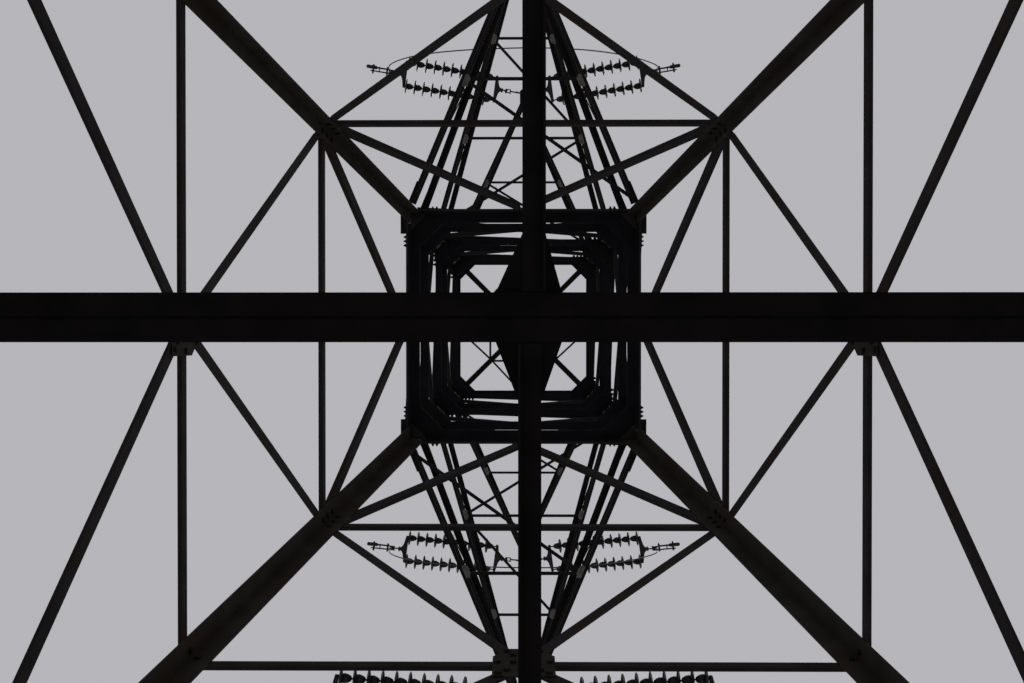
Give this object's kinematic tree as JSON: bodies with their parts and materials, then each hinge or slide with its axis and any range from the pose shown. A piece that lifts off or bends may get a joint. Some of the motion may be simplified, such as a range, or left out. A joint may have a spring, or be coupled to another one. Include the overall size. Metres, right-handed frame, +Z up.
{
  "type": "lattice transmission pylon",
  "caption": "Double-circuit lattice steel tension tower with a tapered foot, a parallel body, paired crossarms, insulator sets and hanging jumper loops.",
  "frame": {"origin": "centre of the four footings on the ground", "axes": "+Z up, X along the line, Y along the crossarms, front towards -Y"},
  "size_m": [8.09, 11.9074, 26.71],
  "materials": {
    "weathered_steel": "dull weathered galvanised steel, dark grey-brown",
    "brown_glaze": "dark brown glazed porcelain with steel caps and yokes",
    "conductor": "weathered stranded aluminium",
    "concrete": "rough cast concrete"
  },
  "bodies": {
    "root": {"footings": "concrete", "lower_leg_front_left": "weathered_steel", "upper_leg_front_left": "weathered_steel", "lower_leg_front_right": "weathered_steel", "upper_leg_front_right": "weathered_steel", "lower_leg_back_left": "weathered_steel", "upper_leg_back_left": "weathered_steel", "lower_leg_back_right": "weathered_steel", "upper_leg_back_right": "weathered_steel", "lower_face_front": "weathered_steel", "base_brace_front": "weathered_steel", "upper_face_front": "weathered_steel", "lower_face_right": "weathered_steel", "base_brace_right": "weathered_steel", "upper_face_right": "weathered_steel", "lower_face_back": "weathered_steel", "base_brace_back": "weathered_steel", "upper_face_back": "weathered_steel", "lower_face_left": "weathered_steel", "base_brace_left": "weathered_steel", "upper_face_left": "weathered_steel", "body_frames": "weathered_steel", "peak": "weathered_steel", "cross_tie": "weathered_steel", "centre_gusset": "weathered_steel", "line_ties": "weathered_steel", "arm_lower_front": "weathered_steel", "insulators_lower_front": "brown_glaze", "jumper_lower_front": "conductor", "arm_lower_back": "weathered_steel", "insulators_lower_back": "brown_glaze", "jumper_lower_back": "conductor", "arm_middle_front": "weathered_steel", "insulators_middle_front": "brown_glaze", "jumper_middle_front": "conductor", "arm_middle_back": "weathered_steel", "insulators_middle_back": "brown_glaze", "jumper_middle_back": "conductor", "arm_upper_front": "weathered_steel", "insulators_upper_front": "brown_glaze", "jumper_upper_front": "conductor", "arm_upper_back": "weathered_steel", "insulators_upper_back": "brown_glaze", "jumper_upper_back": "conductor"}
  },
  "joints": []
}
